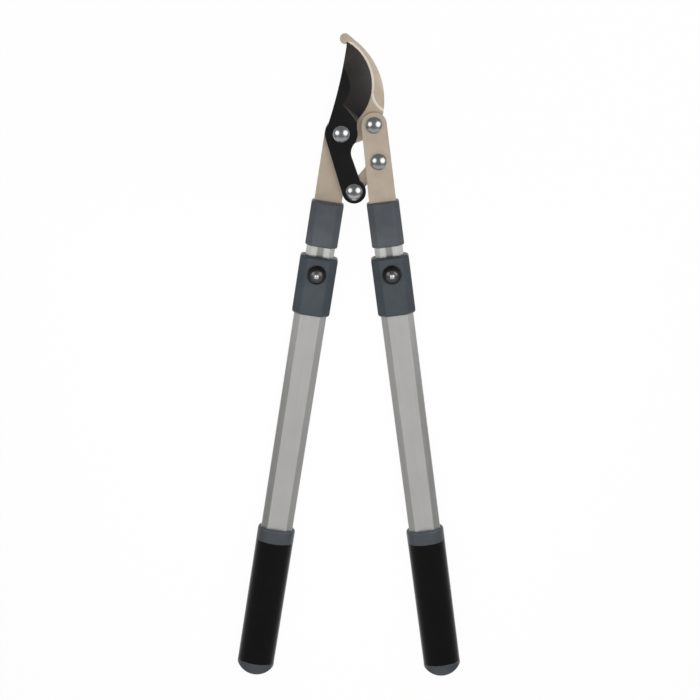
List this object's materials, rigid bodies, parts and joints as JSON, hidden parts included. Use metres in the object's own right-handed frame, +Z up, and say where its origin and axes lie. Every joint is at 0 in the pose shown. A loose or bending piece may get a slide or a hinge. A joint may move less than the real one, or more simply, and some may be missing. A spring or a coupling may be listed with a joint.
{
  "type": "bypass loppers",
  "caption": "Two-handed bypass loppers: a curved blade passes a hook, driven through a toggle link by one arm, on telescopic tube handles with push-button locks and soft grips.",
  "frame": {"origin": "on the axis of the main pivot, at the surface that the tool lies on", "axes": "Y points from the main pivot to the jaw along the tool's middle line, X across the tool from the hook's arm to the right arm, Z up through the pivots to the side of the bolt heads"},
  "size_m": [0.2319, 0.6592, 0.0342],
  "materials": {
    "tan_steel": "satin champagne nickel plating with a fine grain",
    "black_coat": "satin black non-stick coating",
    "chrome": "polished chrome plating",
    "zinc_steel": "dull zinc plating",
    "aluminium": "satin extruded aluminium",
    "grey_plastic": "fine-grained dark blue-grey nylon",
    "black_plastic": "plain black nylon",
    "black_rubber": "soft matt black rubber",
    "black_gloss": "glossy black moulding"
  },
  "bodies": {
    "hook_side": {"hook_jaw": "tan_steel", "main_pivot_bolt": "chrome", "main_pivot_washer": "zinc_steel", "main_pivot_nut": "zinc_steel", "arm_pivot_bolt": "chrome", "arm_pivot_washer": "zinc_steel", "arm_pivot_nut": "zinc_steel", "left_inner_tube": "aluminium", "left_tang_rivets": "zinc_steel", "left_upper_sleeve": "grey_plastic", "left_slide_guide": "black_plastic"},
    "blade": {"cutting_blade": "black_coat", "tail_pivot_bolt": "chrome", "tail_pivot_washer": "zinc_steel", "tail_pivot_nut": "zinc_steel"},
    "arm_side": {"right_arm": "tan_steel", "link_pivot_bolt": "chrome", "link_pivot_washer": "zinc_steel", "link_pivot_nut": "zinc_steel", "right_inner_tube": "aluminium", "right_tang_rivets": "zinc_steel", "right_upper_sleeve": "grey_plastic", "right_slide_guide": "black_plastic"},
    "link": {"toggle_link": "tan_steel"},
    "left_handle": {"left_outer_tube": "aluminium", "left_collar": "grey_plastic", "left_grip_core": "grey_plastic", "left_grip_cover": "black_rubber", "left_lock_spring": "zinc_steel"},
    "right_handle": {"right_outer_tube": "aluminium", "right_collar": "grey_plastic", "right_grip_core": "grey_plastic", "right_grip_cover": "black_rubber", "right_lock_spring": "zinc_steel"},
    "left_button": {"left_lock_button": "black_gloss", "left_lock_pin": "chrome"},
    "right_button": {"right_lock_button": "black_gloss", "right_lock_pin": "chrome"}
  },
  "joints": [
    {"name": "handle_swing", "type": "hinge", "parent": "hook_side", "child": "arm_side", "pos_m": [0.0308, 0.0087, 0.013], "axis": [0, 0, 1], "range_deg": [0, 60]},
    {"name": "blade_swing", "type": "hinge", "parent": "hook_side", "child": "blade", "pos_m": [0, 0, 0.013], "axis": [0, 0, 1], "range_deg": [0, 38]},
    {"name": "link_swing", "type": "hinge", "parent": "arm_side", "child": "link", "pos_m": [0.0357, -0.026, 0.013], "axis": [0, 0, 1], "range_deg": [-55.5, 0]},
    {"name": "left_handle_slide", "type": "slide", "parent": "hook_side", "child": "left_handle", "axis": [-0.144, -0.9896, 0], "range_m": [0, 0.3]},
    {"name": "right_handle_slide", "type": "slide", "parent": "arm_side", "child": "right_handle", "axis": [0.144, -0.9896, 0], "range_m": [0, 0.3]},
    {"name": "left_button_press", "type": "slide", "parent": "left_handle", "child": "left_button", "axis": [0, 0, -1], "range_m": [0, 0.003], "stiffness_N_per_m": 400, "springref_m": -0.005, "deforming": ["left_lock_spring"]},
    {"name": "right_button_press", "type": "slide", "parent": "right_handle", "child": "right_button", "axis": [0, 0, -1], "range_m": [0, 0.003], "stiffness_N_per_m": 400, "springref_m": -0.005, "deforming": ["right_lock_spring"]}
  ],
  "couplings": [
    {"joint": "blade_swing", "follows": "handle_swing", "ratio": 0.63},
    {"joint": "link_swing", "follows": "handle_swing", "ratio": -0.92}
  ]
}
